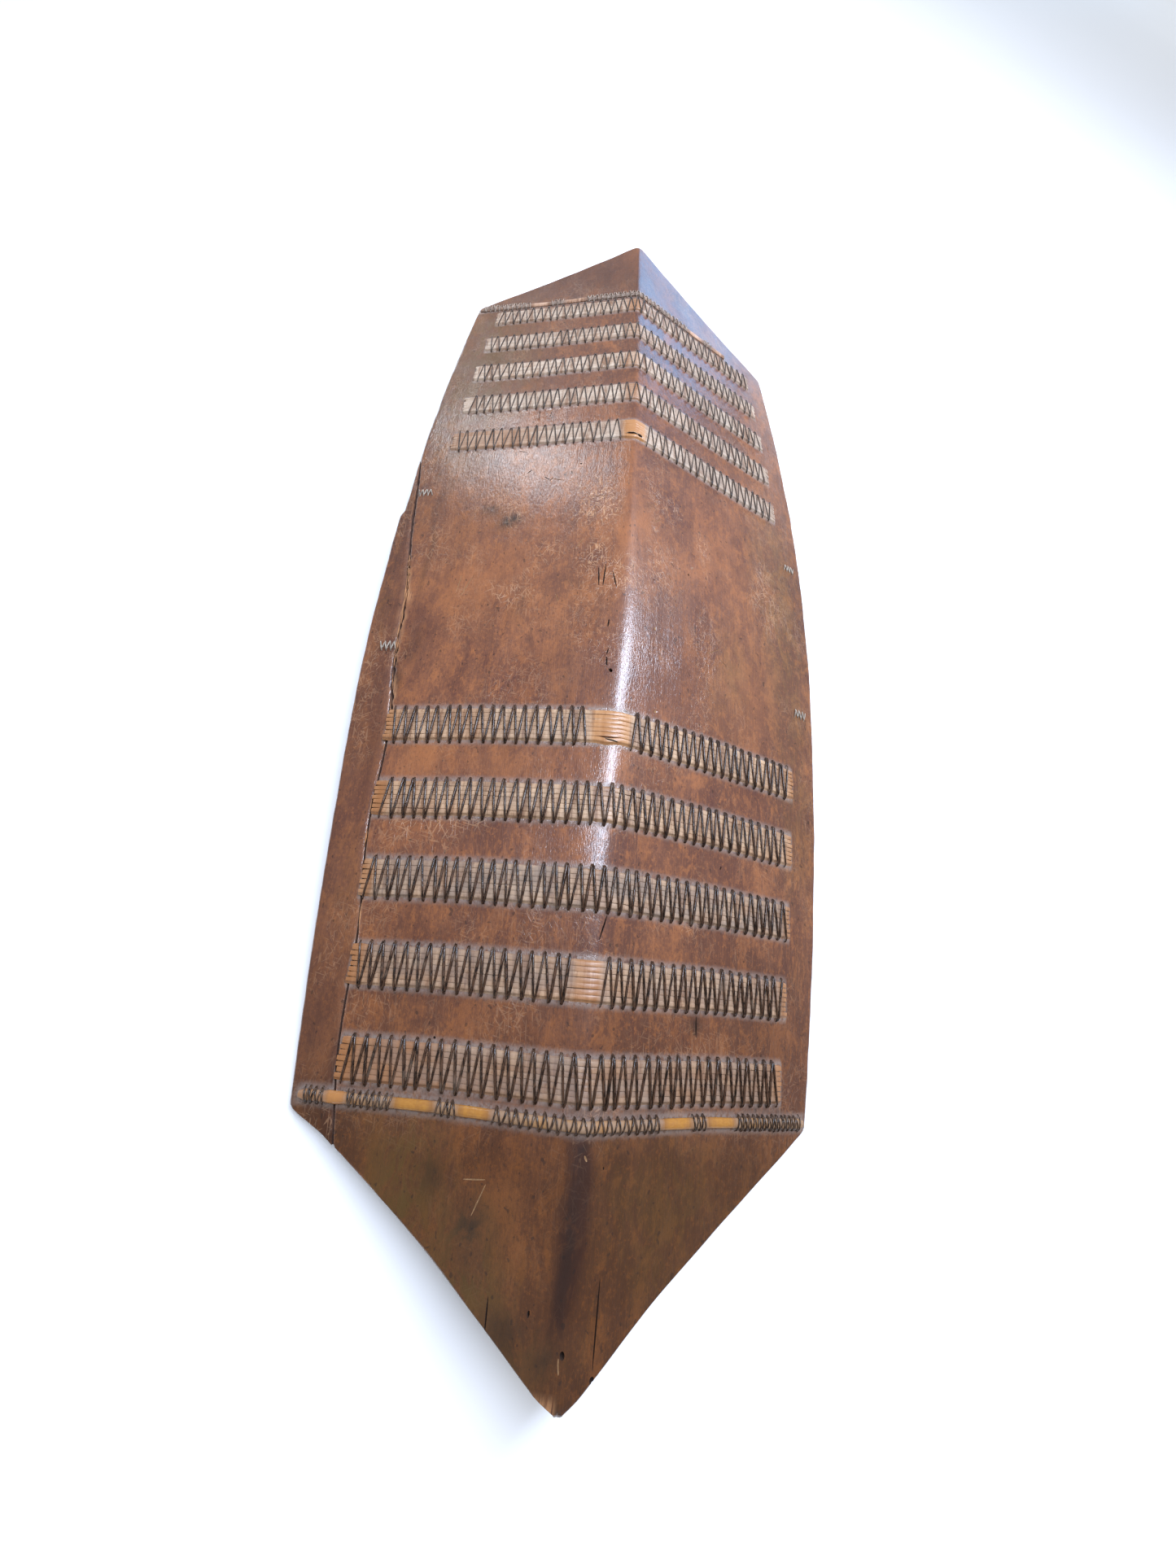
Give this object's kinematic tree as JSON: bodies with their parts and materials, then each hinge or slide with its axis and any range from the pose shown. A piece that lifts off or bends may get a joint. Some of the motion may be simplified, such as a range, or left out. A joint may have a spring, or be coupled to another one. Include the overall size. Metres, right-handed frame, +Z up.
{
  "type": "carved wooden shield",
  "caption": "Long V-sectioned shield carved from one board, pointed at both ends, with laced split-cane bands across its face and a grip carved on its hollow back.",
  "frame": {"origin": "on the ground plane under the middle of the shield's outline, as it lies face up on its shoulder corners", "axes": "+X across the shield towards the flank without the split, +Y along the ridge towards the far point, +Z up out of the shield's face"},
  "size_m": [0.423, 1.16, 0.1053],
  "materials": {
    "carved_wood": "old reddish-brown wood, polished by handling, worn lighter along the ridge",
    "split_wood": "the same wood, a little darker and duller",
    "split_cane": "split cane, tan, satin where bare and dusty under the lacing",
    "cane_rod": "round split cane, yellow-brown and glossy",
    "dark_lacing": "dark brown plied cord, stiff and slightly glossy"
  },
  "bodies": {
    "root": {"board": "carved_wood", "split_edge_strip": "split_wood", "cane_band_01": "split_cane", "cane_band_02": "split_cane", "cane_band_03": "split_cane", "cane_band_04": "split_cane", "cane_band_05": "split_cane", "cane_band_06": "split_cane", "cane_band_07": "split_cane", "cane_band_08": "split_cane", "cane_band_09": "split_cane", "cane_band_10": "split_cane", "far_cane_rod": "cane_rod", "near_cane_rod": "cane_rod", "lacing_01": "dark_lacing", "lacing_02": "dark_lacing", "lacing_03": "dark_lacing", "lacing_04": "dark_lacing", "lacing_05_left": "dark_lacing", "lacing_05_right": "dark_lacing", "lacing_06_left": "dark_lacing", "lacing_06_right": "dark_lacing", "lacing_07": "dark_lacing", "lacing_08": "dark_lacing", "lacing_09_left": "dark_lacing", "lacing_09_right": "dark_lacing", "lacing_10": "dark_lacing", "far_rod_lashing_1": "dark_lacing", "far_rod_lashing_2": "dark_lacing", "far_rod_lashing_3": "dark_lacing", "far_rod_lashing_4": "dark_lacing", "near_rod_lashing_1": "dark_lacing", "near_rod_lashing_2": "dark_lacing", "near_rod_lashing_3": "dark_lacing", "near_rod_lashing_4": "dark_lacing", "near_rod_lashing_5": "dark_lacing", "near_rod_lashing_6": "dark_lacing", "side_stitch_left_far": "dark_lacing", "side_stitch_left_near": "dark_lacing", "side_stitch_right_far": "dark_lacing", "side_stitch_right_near": "dark_lacing"}
  },
  "joints": []
}
